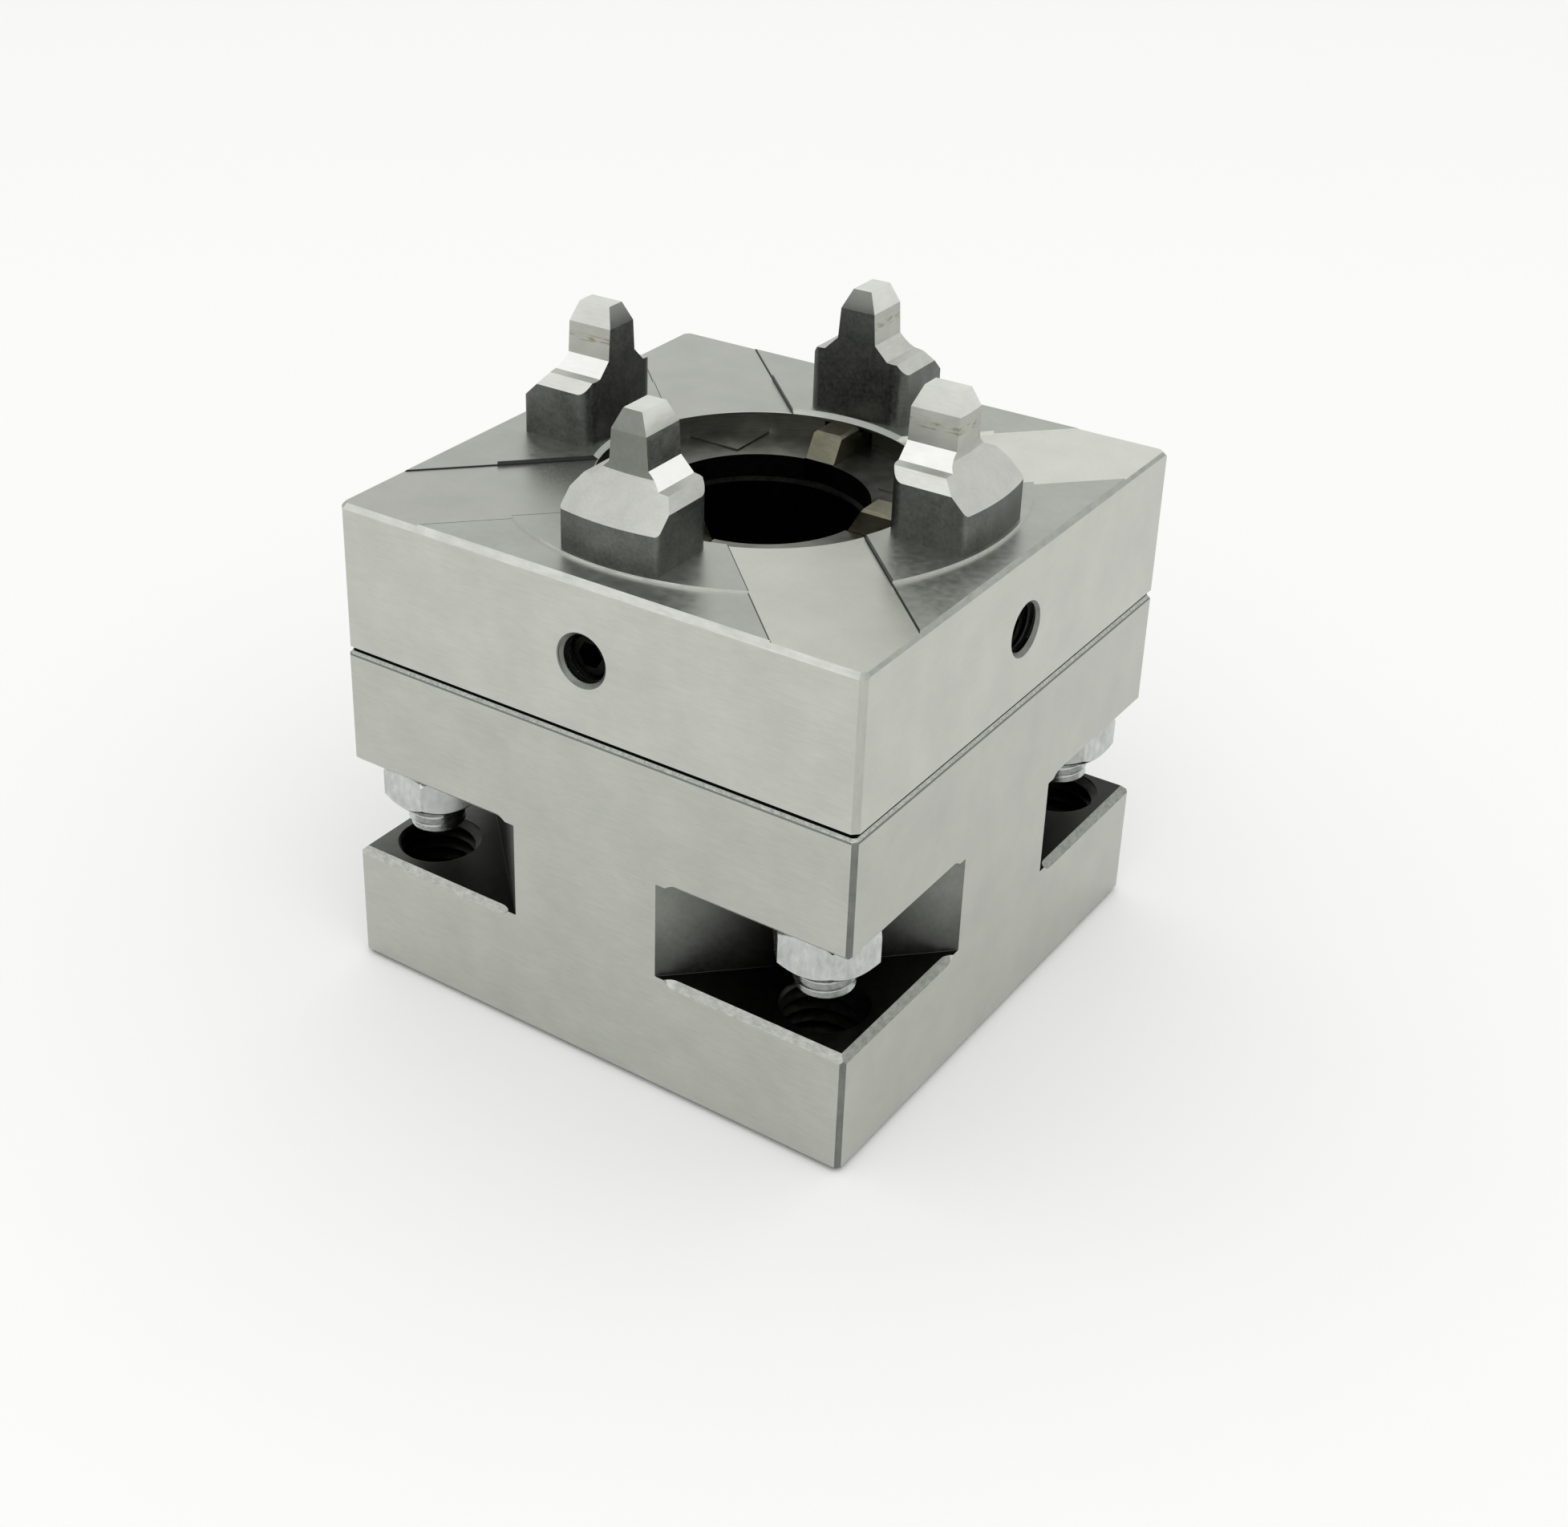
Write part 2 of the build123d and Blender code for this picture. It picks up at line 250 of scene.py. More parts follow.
studs = {"ne": copy_node("stud_ne", "stud_ne_threaded")}
stud_tool = threaded_bar(
    STUD_ROOT, STUD_RADIUS, STUD_PITCH, stud_length, (0, 0, 0), (stud_at, stud_at, stud_start)
)
cut(studs["ne"], stud_tool, "INTERSECT")
for corner, (east, north) in corners.items():
    if corner != "ne":
        shift = Matrix.Translation(((east - 1) * stud_at, (north - 1) * stud_at, 0))
        studs[corner] = moved_copy(studs["ne"], f"stud_{corner}_threaded", shift)
for corner, stud in studs.items():
    smooth(stud)
    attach(stud, "chuck")
    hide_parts(f"stud_{corner}")
print("stud faces:", len(studs["ne"].data.polygons))

# %% [markdown]
# Hexagon nuts are turned on both faces before they are plated, so their corners are cut round and
# each flat ends in an arc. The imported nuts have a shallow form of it. Each copy keeps only what
# lies in a round blank with bevelled rims, which deepens the arcs, and then gets the small rounded
# edges that make a plated nut glint.

# %% Nuts
NUT_EDGE = 0.06 * MM
BLANK_SIDES = 96
BLANK_RADIUS = 4.7 * MM
BLANK_BEVEL = 0.95 * MM
nuts = {corner: copy_node(f"nut_{corner}", f"nut_{corner}_plated") for corner in corners}
for corner, nut in nuts.items():
    nut_low, nut_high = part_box(f"nut_{corner}")
    nut_centre = [(a + b) / 2 for a, b in zip(nut_low, nut_high)]
    pick_none()
    bpy.ops.mesh.primitive_cylinder_add(
        vertices=BLANK_SIDES, radius=BLANK_RADIUS, depth=nut_high[2] - nut_low[2], location=nut_centre
    )
    blank = bpy.context.object
    bpy.ops.object.transform_apply()
    soften(blank, BLANK_BEVEL, steps=1)
    cut(nut, blank, "INTERSECT")
    soften(nut, NUT_EDGE)
    smooth(nut)
    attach(nut, "chuck")
    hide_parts(f"nut_{corner}")
print("nut faces:", len(nuts["ne"].data.polygons))

# %% [markdown]
# The set screws are blackened and have a fine M4 thread, a hexagon socket and a turned point. They
# are modelled like the studs: one facing east, then three copies turned about the middle.

# %% Set screws with an M4 thread
SCREW_ROOT = 1.62 * MM
SCREW_RADIUS = 2.0 * MM
SCREW_PITCH = 0.7 * MM
screw_low, screw_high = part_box("set_screw_east")
screw_z = (screw_low[2] + screw_high[2]) / 2
screw_start = screw_low[0] - THREAD_PAST_END
screw_length = screw_high[0] - screw_low[0] + 2 * THREAD_PAST_END
towards_east = (0, math.radians(90), 0)
compass = {"east": 0, "north": 90, "west": 180, "south": 270}
screws = {"east": copy_node("set_screw_east", "set_screw_east_threaded")}
screw_tool = threaded_bar(
    SCREW_ROOT, SCREW_RADIUS, SCREW_PITCH, screw_length, towards_east, (screw_start, 0, screw_z)
)
cut(screws["east"], screw_tool, "INTERSECT")
for side, angle in compass.items():
    if side != "east":
        turned = Matrix.Rotation(math.radians(angle), 4, "Z")
        screws[side] = moved_copy(screws["east"], f"set_screw_{side}_threaded", turned)
for side, screw in screws.items():
    smooth(screw)
    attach(screw, f"screw_{side}")
    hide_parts(f"set_screw_{side}")
print("set screw faces:", len(screws["east"].data.polygons))

# %% [markdown]
# The base block is one piece of steel. In the photograph, the chamfer round its top reaches lower
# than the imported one, so the points of that chamfer are picked by their place and moved while the
# mesh is still simple. Then the edges are broken.

# %% Base block with its top chamfer
HALF_SIDE = 25.0
BLOCK_TOP = 31.2
TOP_CHAMFER = 0.3
CHAMFER_DROP = 0.25
CHAMFER_INSET = 0.1
HEAD_SCALE = 1 - CHAMFER_INSET / (HALF_SIDE - TOP_CHAMFER)
NEAR = 0.01
EDGE = 0.05 * MM


def shift_points(piece, chosen, operator, **settings):
    """Run one transform operator on the points of a piece that are chosen by their place."""
    edit_all(piece, bpy.ops.mesh.select_all, action="DESELECT")
    for point in piece.data.vertices:
        point.select = chosen(point.co / MM)
    bpy.ops.object.mode_set(mode="EDIT")
    operator(**settings)
    bpy.ops.object.mode_set(mode="OBJECT")


def reach(place):
    """How far a place is from the axis, measured square: 25 mm on every outer side."""
    return max(abs(place.x), abs(place.y))


def on_chamfer_foot(place):
    """The lower border of the chamfer round the block's top."""
    return abs(place.z - BLOCK_TOP + TOP_CHAMFER) < NEAR


def on_chamfer_head(place):
    """The upper border of the same chamfer."""
    return place.z > BLOCK_TOP - NEAR and reach(place) > HALF_SIDE - TOP_CHAMFER - NEAR


block = copy_node("base_block", "base_block_ground")
shift_points(block, on_chamfer_foot, bpy.ops.transform.translate, value=(0, 0, -CHAMFER_DROP * MM))
inset = {"value": (HEAD_SCALE, HEAD_SCALE, 1), "center_override": (0, 0, 0)}
shift_points(block, on_chamfer_head, bpy.ops.transform.resize, **inset)
soften(block, EDGE)
print("block points:", len(block.data.vertices))

# %% [markdown]
# A pointed mill ran along the lips of each notch and stopped short of the notch's inner corner.
# The tool for that is the space that the mill sweeps: a cone at each end of its path, and the hull
# round both.

# %% Milled lips of the notches
NOTCH_FLOOR = 11.3
NOTCH_ROOF = 20.2
LIP_START = 9.1
LOWER_LIP = 0.6
UPPER_LIP = 0.5
MILL_SIDES = 48
MILL_RADIUS = 1.3
MILL_CLEAR = 0.02


def mill_sweep(start, end, point_up):
    """The space that a pointed mill sweeps from start to end, in millimetres."""
    pick_none()
    wide = MILL_RADIUS + MILL_CLEAR
    cone = {"vertices": MILL_SIDES, "radius1": wide * MM, "radius2": 0, "depth": wide * MM}
    turn = (0 if point_up else math.pi, 0, 0)
    to_middle = Vector((0, 0, (wide / 2 - MILL_CLEAR) * (1 if point_up else -1)))
    bpy.ops.mesh.primitive_cone_add(**cone, location=(Vector(start) + to_middle) * MM, rotation=turn)
    sweep = bpy.context.object
    bpy.ops.object.transform_apply()
    bpy.ops.object.mode_set(mode="EDIT")
    bpy.ops.mesh.primitive_cone_add(**cone, location=(Vector(end) + to_middle) * MM, rotation=turn)
    bpy.ops.mesh.select_all(action="SELECT")
    bpy.ops.mesh.convex_hull()
    bpy.ops.object.mode_set(mode="OBJECT")
    return sweep


for east, north in corners.values():
    for height, lip, point_up in ((NOTCH_FLOOR, LOWER_LIP, False), (NOTCH_ROOF, UPPER_LIP, True)):
        beside = HALF_SIDE + MILL_RADIUS - lip
        past_corner = HALF_SIDE + 2 * MILL_RADIUS
        for start, end in (
            ((LIP_START * east, beside * north, height), (past_corner * east, beside * north, height)),
            ((beside * east, LIP_START * north, height), (beside * east, past_corner * north, height)),
        ):
            cut(block, mill_sweep(start, end, point_up), "DIFFERENCE")
print("block faces:", len(block.data.polygons))

# %% [markdown]
# The lower flange has a tapped M8 hole at each corner, for the screws that hold the chuck on a
# machine table. A real tap is a threaded bar that cuts as it turns. So a bar of that size is taken
# away from the block at each hole, which leaves the true thread and its run-out at both ends.

# %% M8 threads in the base block
TAP_ROOT = 3.3 * MM
TAP_RADIUS = 4.0 * MM
TAP_PITCH = 1.25 * MM
for east, north in corners.values():
    length = NOTCH_FLOOR * MM + 2 * THREAD_PAST_END
    tap_start = (east * stud_at, north * stud_at, -THREAD_PAST_END)
    tap = threaded_bar(TAP_ROOT, TAP_RADIUS, TAP_PITCH, length, (0, 0, 0), tap_start)
    cut(block, tap, "DIFFERENCE")
smooth(block)
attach(block, "chuck")
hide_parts("base_block")
print("block faces:", len(block.data.polygons))

# %% [markdown]
# The plate is treated the same way. The mouths of its four side holes show one or two turns of
# thread in front of the set screws, so a tap a little larger than each hole cuts them. The tap is
# turned to face each of the four sides in turn.

# %% Chuck plate with broken edges and M4 threads
PLATE_EDGE = 0.05 * MM
SIDE_TAP_ROOT = 2.05 * MM
SIDE_TAP_RADIUS = 2.3 * MM
SIDE_TAP_DEPTH = 6 * MM
plate = copy_node("chuck_plate", "chuck_plate_ground")
soften(plate, PLATE_EDGE)
for angle in compass.values():
    turned = Euler((0, math.radians(90), math.radians(angle)))
    hole_end = Vector((cad_high[0] - SIDE_TAP_DEPTH, 0, screw_z))
    side_start = Matrix.Rotation(math.radians(angle), 3, "Z") @ hole_end
    length = SIDE_TAP_DEPTH + THREAD_PAST_END
    tap = threaded_bar(SIDE_TAP_ROOT, SIDE_TAP_RADIUS, SCREW_PITCH, length, turned, side_start)
    cut(plate, tap, "DIFFERENCE")
smooth(plate)
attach(plate, "chuck")
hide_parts("chuck_plate")
print("plate faces:", len(plate.data.polygons))

# %% [markdown]
# The jaws are hardened blocks whose noses grip the holder's spigot. The sleeve lines the bore in
# front of their feet, and the dowel pins set the plate on the block. All are plain ground pieces
# with no thread, so they keep their packed form, and only their edges are broken.

# %% Jaws, sleeve and dowel pins
SMALL_EDGE = 0.06 * MM
others = {}
for node, body, slot in (
    *((f"jaw_{side}", f"jaw_{side}", "jaw_steel") for side in compass),
    ("guide_sleeve", "chuck", "black_steel"),
    ("dowel_pin_east", "chuck", "jaw_steel"),
    ("dowel_pin_west", "chuck", "jaw_steel"),
):
    others[node] = copy_node(node, f"{node}_finished")
    soften(others[node], SMALL_EDGE)
    smooth(others[node])
    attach(others[node], body)
    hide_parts(node)
print("finished:", ", ".join(others))

# %% [markdown]
# Colours are written as sRGB hex codes, as a picture editor shows them, and a shader needs linear
# values, so one function converts them by the formula of the sRGB standard. Another adds a shader
# node with its settings and links.

# %% Colour and node helpers
def linear(code):
    """An sRGB hex colour as linear red, green, blue and alpha."""
    shares = [int(code[i : i + 2], 16) / 255 for i in (1, 3, 5)]
    return (*(s / 12.92 if s <= 0.04045 else ((s + 0.055) / 1.055) ** 2.4 for s in shares), 1.0)


def add_node(tree, kind, values=None, links=None, **settings):
    """Add one node: its settings, the values of its inputs and the outputs linked to it."""
    node = tree.nodes.new("ShaderNode" + kind)
    for key, value in settings.items():
        setattr(node, key, value)
    for socket, value in (values or {}).items():
        node.inputs[socket].default_value = value
    for socket, output in (links or {}).items():
        tree.links.new(output, node.inputs[socket])
    return node


print("sRGB middle grey is linear", round(linear("#808080")[0], 3))

# %% [markdown]
# Steel shows how it was machined. A grinding wheel leaves fine parallel scratches, a milling
# cutter a coarser grain, and both vary a little in tone over a few millimetres. So each finish
# mixes two tones by a stretched noise, the grain, and a broad one, the cloud. The grain also
# drives the roughness and a shallow bump. Sizes are in millimetres: the grain's length along X, Y
# and Z, the cloud's width and the bump's relief. Real scratches are a few thousandths of a
# millimetre wide, which is too fine to show, so the finest grain is drawn as coarse as 0.1 mm.

# %% One maker for the steel finishes
GRAIN_DETAIL = 3.0
CLOUD_DETAIL = 4.0
NOISE_ROUGHNESS = 0.6
TONE_STOPS = (0.35, 0.65)
GRAIN_LOW = 0.3
GRAIN_HIGH = 0.7
GLOSS_SPREAD = 0.06


def steel(name, dark, light, grain, cloud, rough, relief, cloud_share=0.5):
    """A metal finish that mixes two tones by a fine grain and a broad cloud."""
    material = bpy.data.materials.new(f"{name}_steel")
    material.use_nodes = True
    tree = material.node_tree
    shader = tree.nodes["Principled BSDF"]
    shader.inputs["Metallic"].default_value = 1.0
    place = add_node(tree, "TexCoord").outputs["Object"]
    stretched = add_node(tree, "Mapping", {"Scale": [1 / (size * MM) for size in grain]}, {"Vector": place})
    fine = {"Scale": 1.0, "Detail": GRAIN_DETAIL, "Roughness": NOISE_ROUGHNESS}
    marks = add_node(tree, "TexNoise", fine, {"Vector": stretched.outputs["Vector"]})
    wide = {"Scale": 1 / (cloud * MM), "Detail": CLOUD_DETAIL, "Roughness": NOISE_ROUGHNESS}
    broad = add_node(tree, "TexNoise", wide, {"Vector": place})
    parts = {"A": marks.outputs["Fac"], "B": broad.outputs["Fac"]}
    both = add_node(tree, "Mix", {"Factor": cloud_share}, parts)
    tone = add_node(tree, "ValToRGB", links={"Fac": both.outputs["Result"]})
    for i, (position, colour) in enumerate(zip(TONE_STOPS, (dark, light))):
        tone.color_ramp.elements[i].position = position
        tone.color_ramp.elements[i].color = linear(colour)
    tree.links.new(tone.outputs["Color"], shader.inputs["Base Color"])
    limits = {"From Min": GRAIN_LOW, "From Max": GRAIN_HIGH}
    spread = {"To Min": rough - GLOSS_SPREAD, "To Max": rough + GLOSS_SPREAD}
    gloss = add_node(tree, "MapRange", limits | spread, {"Value": marks.outputs["Fac"]})
    tree.links.new(gloss.outputs["Result"], shader.inputs["Roughness"])
    depth = {"Strength": 1.0, "Distance": relief * MM}
    bump = add_node(tree, "Bump", depth, {"Height": marks.outputs["Fac"]})
    tree.links.new(bump.outputs["Normal"], shader.inputs["Normal"])
    return material


print("gloss varies by", 2 * GLOSS_SPREAD)

# %% [markdown]
# The outer sides of plate and block are surface ground, which leaves long fine scratches. The edges
# were then broken by hand, each a little differently. An edge is narrow, but its tone draws the
# outline of the block, so each kind of edge has tones of its own, matched to the photograph. Part
# of these tones is painted light: a bright line where an edge faces the light, grey where it doesn't.

# %% Finishes of the sides and edges
# Ground tool steel: level scratches give a soft, pale satin.
ground_sides = steel("surface_ground_tool", "#B8BAB4", "#C5C7C0", (1.6, 1.6, 0.2), 5, 0.38, 0.002)
# Stoned corners: short upright strokes, a little duller than the sides.
plate_corners = steel("stoned_corner", "#ACAEA8", "#B8BAB4", (0.25, 0.25, 1.5), 2, 0.4, 0.002)
# Ground block steel: the same satin as the plate's, a shade darker; the darker tone is painted shade.
block_sides = steel("surface_ground_block", "#B1B3AD", "#BEC0B9", (1.6, 1.6, 0.2), 5, 0.38, 0.002)
# Stoned chamfers above the east and west sides: a grey line between two paler planes, painted
# darker as shade than the lit chamfers on the north and south.
side_edges = steel("stoned_side_edge", "#989A95", "#ACAEA9", (0.25, 1.5, 0.25), 1.2, 0.42, 0.002)
# Stoned edges that catch no light: a thin dark line.
broken_edges = steel("stoned_edge", "#6C6E6A", "#80827D", (0.25, 0.25, 1.5), 1.2, 0.42, 0.004)
# Chamfers and rims that face the light: a thin line of painted highlight.
highlight_edges = steel("painted_highlight_edge", "#C4C6C0", "#D8DAD4", (2, 0.3, 0.3), 1.5, 0.38, 0.003)
# Milled lips on the north and south sides: short marks, light and grey.
front_lips = steel("milled_lip", "#9FA19B", "#C6C8C2", (0.5, 0.15, 0.15), 0.8, 0.45, 0.006)
# Lips on the other sides: the same milled marks, painted darker as shade.
shaded_side_lips = steel("shaded_milled_lip", "#7E807B", "#A2A49E", (0.15, 0.5, 0.15), 0.8, 0.45, 0.006)
# Gritty chamfer under the joint: small light and dark specks.
blasted_edges = steel("gritty_edge", "#8E908B", "#CDCFC9", (0.12, 0.12, 0.12), 0.25, 0.5, 0.01)
# Chamfer round the underside: a dark line of painted shadow at the foot.
shaded_foot_edges = steel("shaded_foot_edge", "#3C3D3A", "#565752", (0.5, 0.5, 0.3), 1, 0.45, 0.003)
print("finishes:", len(bpy.data.materials))

# %% [markdown]
# The notches were milled and their holes tapped. Soft studio light casts hardly a shadow, so their
# depth comes from painted shade: dark tones on their floors, walls and holes.

# %% Finishes of the notches and holes
# Milled notch walls: an even grain in middle grey.
notch_walls = steel("milled_notch", "#747671", "#82847F", (0.5, 0.5, 0.5), 2, 0.45, 0.004)
# Notch floors: almost black, painted shade, with a soft sheen.
shaded_notch_floors = steel("shaded_notch_floor", "#20211F", "#2E2F2C", (0.8, 0.8, 0.8), 3, 0.4, 0.003)
# Burnished crests of a thread: thin lighter arcs at a hole's mouth.
thread_crests = steel("burnished_thread", "#8C8E8A", "#A5A7A2", (0.3, 0.3, 0.3), 1, 0.4, 0.002)
# Tapped holes: dark walls of painted shade, whose turns only just show.
tapped = steel("tapped_hole", "#1F1F1E", "#3A3A37", (1, 1, 0.2), 2, 0.35, 0.003)
print("finishes:", len(bpy.data.materials))

# %% [markdown]
# The plate's top was face milled, and its four diagonal pads were ground afterwards, because the
# holder rests on them. Such fine surfaces have almost no relief and differ in tone, partly by painted
# reflection: lighter in the north-east and in front, greyer in the west. The grain of the flat ones is
# long along Z, where it can't be seen.

# %% Finishes of the top and the bore
# Edge of the ring: a nearly white line, a painted highlight.
ring_highlights = steel("painted_highlight_ring_edge", "#F0F1ED", "#F8F8F5", (0.4, 0.4, 0.4), 0.6, 0.35, 0.002, 0.4)
# Fine ground pad at the front: even and light.
front_pad = steel("fine_ground_pad", "#B9BBB3", "#C4C6BE", (0.2, 0.2, 4), 4, 0.34, 0.0005)
# Pads in the west: just as even, and painted greyer as a dimmer reflection.
shaded_west_pads = steel("shaded_pad", "#A3A59F", "#B0B2AB", (0.2, 0.2, 4), 5, 0.34, 0.0005)
# Pad in the north-east: the brightest of the four, a painted reflection.
lit_north_east_pad = steel("lit_pad", "#C8CAC2", "#D4D6CE", (0.2, 0.2, 4), 5, 0.34, 0.0005)
# Face milled top: a broad soft sheen whose grain hardly shows.
milled_top = steel("face_milled_tool", "#A1A39D", "#AFB1AB", (0.8, 0.8, 4), 5, 0.38, 0.0003)
# The same top in front, outside the ring: painted lighter, as the light reaches it more.
lit_milled_front = steel("face_milled_front", "#B2B4AE", "#C0C2BB", (0.8, 0.8, 4), 5, 0.38, 0.0003)
# Turned bore: fine level rings on a dark wall.
turned_bore = steel("turned_bore", "#5C5C57", "#7B7B74", (2, 2, 0.1), 3, 0.35, 0.003)
# The bore below its ledge: oiled, shaded and almost black.
bore_depths = steel("shaded_bore", "#141413", "#20201E", (1, 1, 0.3), 3, 0.45, 0.003)
print("finishes:", len(bpy.data.materials))

# %% [markdown]
# A prong is eroded with a wire, turned on its back and ground to its exact form, and its polished
# slopes guide the holder into place. Each way of machining has a tone of its own, and painted light
# spreads them further: nearly white slopes are a painted highlight, dark inner walls painted shade.

# %% Finishes of the prongs
# Wire eroded walls: matt, and painted dark as a dim reflection.
prong_walls = steel("shaded_wire_eroded_prong", "#565855", "#6F716D", (0.3, 0.3, 0.3), 2, 0.4, 0.003)
# Form ground fingers: fine level lines and a soft sheen.
prong_fingers = steel("form_ground_finger", "#A1A39D", "#B3B5AE", (3, 3, 0.1), 2, 0.36, 0.002)
# Finger in front: dull, with no clear grain, and painted darker as a dim reflection.
shaded_front_finger = steel("shaded_finger", "#757772", "#83857F", (0.3, 0.3, 0.3), 2, 0.45, 0.003)
# Scratched flank of that finger: dark, with coarse level scratches.
scratched_flank = steel("scratched_flank", "#525450", "#757772", (0.6, 0.6, 0.1), 1, 0.4, 0.004)
# Ground tips: bright, with hardly any relief.
prong_tips = steel("ground_tip", "#CDCFC9", "#DADCD6", (1.5, 1.5, 0.15), 2, 0.36, 0.001)
# Stoned ends of the tips: a middle grey beside the bright tip.
tip_ends = steel("stoned_tip", "#838580", "#8E908B", (0.3, 0.3, 0.3), 2, 0.42, 0.002)
# Upper slopes: nearly white, a painted highlight.
highlight_slopes = steel("painted_highlight_slope", "#F0F1ED", "#F8F8F5", (1.5, 1.5, 0.15), 2, 0.3, 0.001)
# Ground lower slopes: faint level scratches, painted a little duller than the highlit ones.
lower_slopes = steel("ground_slope", "#D2D4CE", "#E2E4DE", (1.5, 1.5, 0.12), 2, 0.34, 0.002)
# Ground slopes of the north and south prongs: painted greyer still, as they catch less light.
side_slopes = steel("ground_side_slope", "#B4B6B0", "#C6C8C2", (1.5, 1.5, 0.12), 2, 0.36, 0.002)
# Ground step between two slopes: matt, so that it reads as a grey line.
slope_steps = steel("ground_step", "#B8BAB4", "#C4C6C0", (1.5, 1.5, 0.3), 2, 0.55, 0.001)
# Turned cones: pale, with a fine even grain.
prong_cones = steel("turned_cone", "#B9BBB5", "#C8CAC4", (0.2, 0.2, 0.2), 2, 0.45, 0.004)
print("finishes:", len(bpy.data.materials))

# %% [markdown]
# The small pieces were finished apart from the block and stand out from it: zinc plate glints,
# black oxide hardly reflects, and hardening leaves a brown tint.

# %% Finishes of the small pieces
# Hardened and oiled jaws: a brownish grey under a thin film.
jaw_finish = steel("oiled_hardened", "#69685A", "#83826F", (1, 1, 0.3), 2, 0.35, 0.003)
# Zinc plated studs and nuts: bright, with small sharp glints.
zinc = steel("bright_zinc_plated", "#AEB0AE", "#CFD1CF", (0.5, 0.5, 1.2), 1.5, 0.22, 0.001)
# Black oxide on screws and sleeve: almost black, with a dull sheen. The same finish is painted as
# shade in the joint and in the side threads.
black = steel("black_oxide_and_shade", "#080808", "#161615", (0.5, 0.5, 0.5), 2, 0.4, 0.003)
print("steel finishes:", len(bpy.data.materials))

# %% [markdown]
# Some marks lie on top of a finish, such as dirt in a groove or a rub where a tool has touched.
# Each is a second colour, mixed in where a mask is 1. A mask that is worked out from the place of
# a point needs no painting and stays sharp. The pads cross the plate on its diagonals, so the
# difference between a point's distances from the two middle lines tells how far it is from the
# nearest diagonal.

# %% Helpers for marks over a finish
# A Mix node holds sockets for numbers, vectors and colours; these are the ones for colours.
MIX_FACTOR = 0
MIX_BELOW = 6
MIX_ABOVE = 7
MIX_RESULT = 2


def overlay(finish, mask, colour):
    """Mix a colour over a finish where the mask is 1."""
    tree = finish.node_tree
    base = tree.nodes["Principled BSDF"].inputs["Base Color"]
    links = {MIX_FACTOR: mask, MIX_BELOW: base.links[0].from_socket}
    mixed = add_node(tree, "Mix", {MIX_ABOVE: linear(colour)}, links, data_type="RGBA")
    tree.links.new(mixed.outputs[MIX_RESULT], base)


def axes_of(tree):
    """The place of a point along X, Y and Z."""
    place = add_node(tree, "TexCoord").outputs["Object"]
    return add_node(tree, "SeparateXYZ", links={"Vector": place}).outputs


def off_diagonal(tree):
    """How far a point is from the nearest diagonal of the square, times the root of two."""
    axes = axes_of(tree)
    east, north = (
        add_node(tree, "Math", links={0: axes[axis]}, operation="ABSOLUTE").outputs[0] for axis in "XY"
    )
    skew = add_node(tree, "Math", links={0: east, 1: north}, operation="SUBTRACT")
    return add_node(tree, "Math", links={0: skew.outputs[0]}, operation="ABSOLUTE").outputs[0]


def overlay_ramp(finish, measure, start, end, colour, most=1.0):
    """Mix a colour over a finish, from nothing at the measure start to the most at the end."""
    ends = {"From Min": start * MM, "From Max": end * MM, "To Max": most}
    ramp = add_node(finish.node_tree, "MapRange", ends, {"Value": measure})
    overlay(finish, ramp.outputs["Result"], colour)


print("marks can be laid over", len(bpy.data.materials), "finishes")

# %% [markdown]
# A thin line of painted shade runs along the long borders of the pads, at the small step up to the
# milled top. The north-east pad has none. A band at a set distance from the diagonals draws all the
# borders at once.

# %% Painted shade along the borders of the pads
PAD_WIDTH = 11.0
BORDER_WIDTH = 0.16
BORDER_SHADE = "#50524F"


def line_pad_borders(finish):
    """A thin line of painted shade along the long borders of all pads but the north-east one."""
    tree = finish.node_tree
    line = {1: PAD_WIDTH * MM / math.sqrt(2), 2: BORDER_WIDTH * MM / math.sqrt(2)}
    on_line = add_node(tree, "Math", line, {0: off_diagonal(tree)}, operation="COMPARE")
    axes = axes_of(tree)
    least = add_node(tree, "Math", links={0: axes["X"], 1: axes["Y"]}, operation="MINIMUM")
    off_north_east = add_node(tree, "Math", {1: 0}, {0: least.outputs[0]}, operation="LESS_THAN")
    both = {0: on_line.outputs[0], 1: off_north_east.outputs[0]}
    mask = add_node(tree, "Math", links=both, operation="MULTIPLY")
    overlay(finish, mask.outputs[0], BORDER_SHADE)


lined = (front_pad, shaded_west_pads, milled_top, lit_milled_front)
for finish in lined:
    line_pad_borders(finish)
# The line counted here is painted shade along the pad borders.
print("finishes with a dirt line:", len(lined))

# %% [markdown]
# The joint between block and plate lies in shade. A black band of painted shade runs along the top
# of the chamfer there, and the chamfer's foot is darker than its gritty middle. Both bands run level
# round the block, so the height of a point is all that their masks need.

# %% Painted shade in the joint
JOINT_SHADE_DEPTH = 0.17
CHAMFER_FOOT = 0.42
JOINT_SHADE = "#080808"
DARKER_FOOT = "#7A7C77"


def line_joint(finish):
    """A black band of painted shade at the top of the chamfer, and a darker band at its foot."""
    tree = finish.node_tree
    height = axes_of(tree)["Z"]
    for depth, operation, colour in (
        (CHAMFER_FOOT, "LESS_THAN", DARKER_FOOT),
        (JOINT_SHADE_DEPTH, "GREATER_THAN", JOINT_SHADE),
    ):
        limit = {1: (BLOCK_TOP - depth) * MM}
        band = add_node(tree, "Math", limit, {0: height}, operation=operation)
        overlay(finish, band.outputs[0], colour)


line_joint(blasted_edges)
# The printed height is the lower end of the band of painted shade.
print("oil reaches down to", round(BLOCK_TOP - JOINT_SHADE_DEPTH, 2), "mm")

# %% [markdown]
# A notch's wall is painted darker towards its middle and its foot, as painted shade. The floors of
# the two western notches are lighter towards their outer corners. Such changes are gradual, so their
# masks are ramps between two places.

